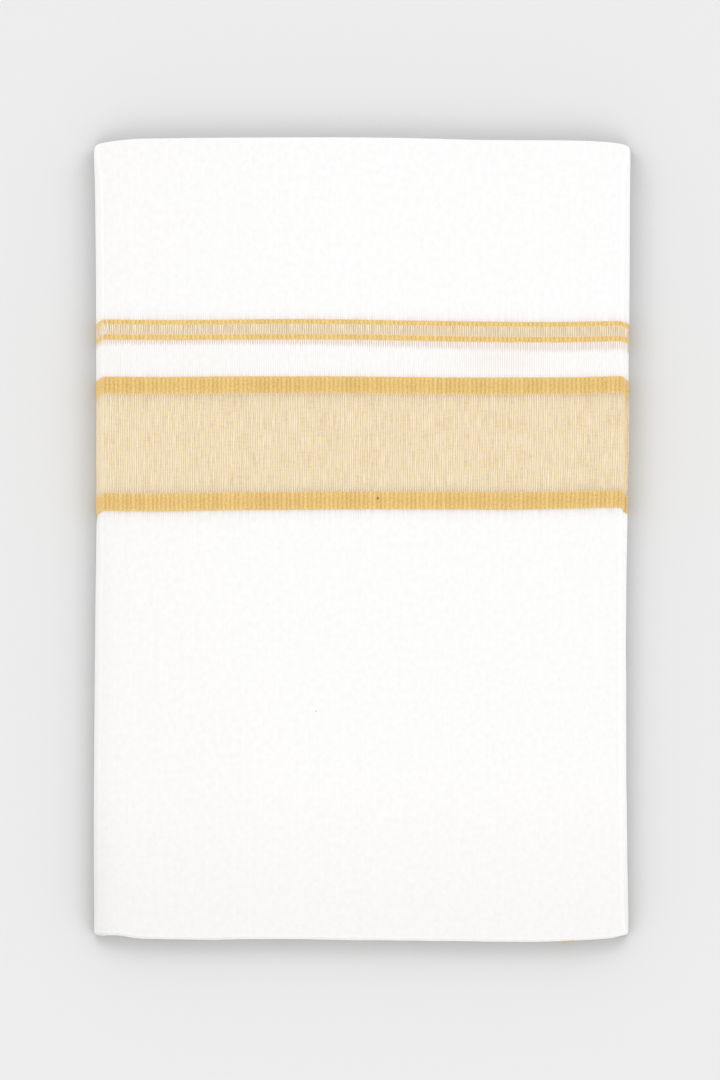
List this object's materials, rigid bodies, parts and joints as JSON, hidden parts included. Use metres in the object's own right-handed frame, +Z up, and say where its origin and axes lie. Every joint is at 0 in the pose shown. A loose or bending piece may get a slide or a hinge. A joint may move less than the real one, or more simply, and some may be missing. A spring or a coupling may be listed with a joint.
{
  "type": "folded dhoti cloth",
  "caption": "White cotton dhoti folded flat into a rectangle, a flap with woven gold and tissue borders on its face, lying on its flat underside.",
  "frame": {"origin": "bottom centre of the folded cloth, on the surface that it lies on", "axes": "+X along the woven borders, to the right in the picture; +Y from the bottom fold to the top fold; +Z up from the surface"},
  "size_m": [0.2446, 0.3708, 0.0142],
  "materials": {
    "cotton": "matt plain-weave cotton",
    "gold": "ribbed gold yarn with a soft sheen",
    "tissue": "fine cream and gold tissue weave"
  },
  "bodies": {
    "root": {"hidden_folds": "cotton", "lower_front": "cotton", "flap_body": "cotton", "flap_gap": "cotton", "narrow_gold_upper": "gold", "narrow_tissue": "tissue", "narrow_gold_lower": "gold", "wide_gold_upper": "gold", "wide_tissue": "tissue", "wide_gold_selvedge": "gold", "inner_border_edge": "gold"}
  },
  "joints": []
}
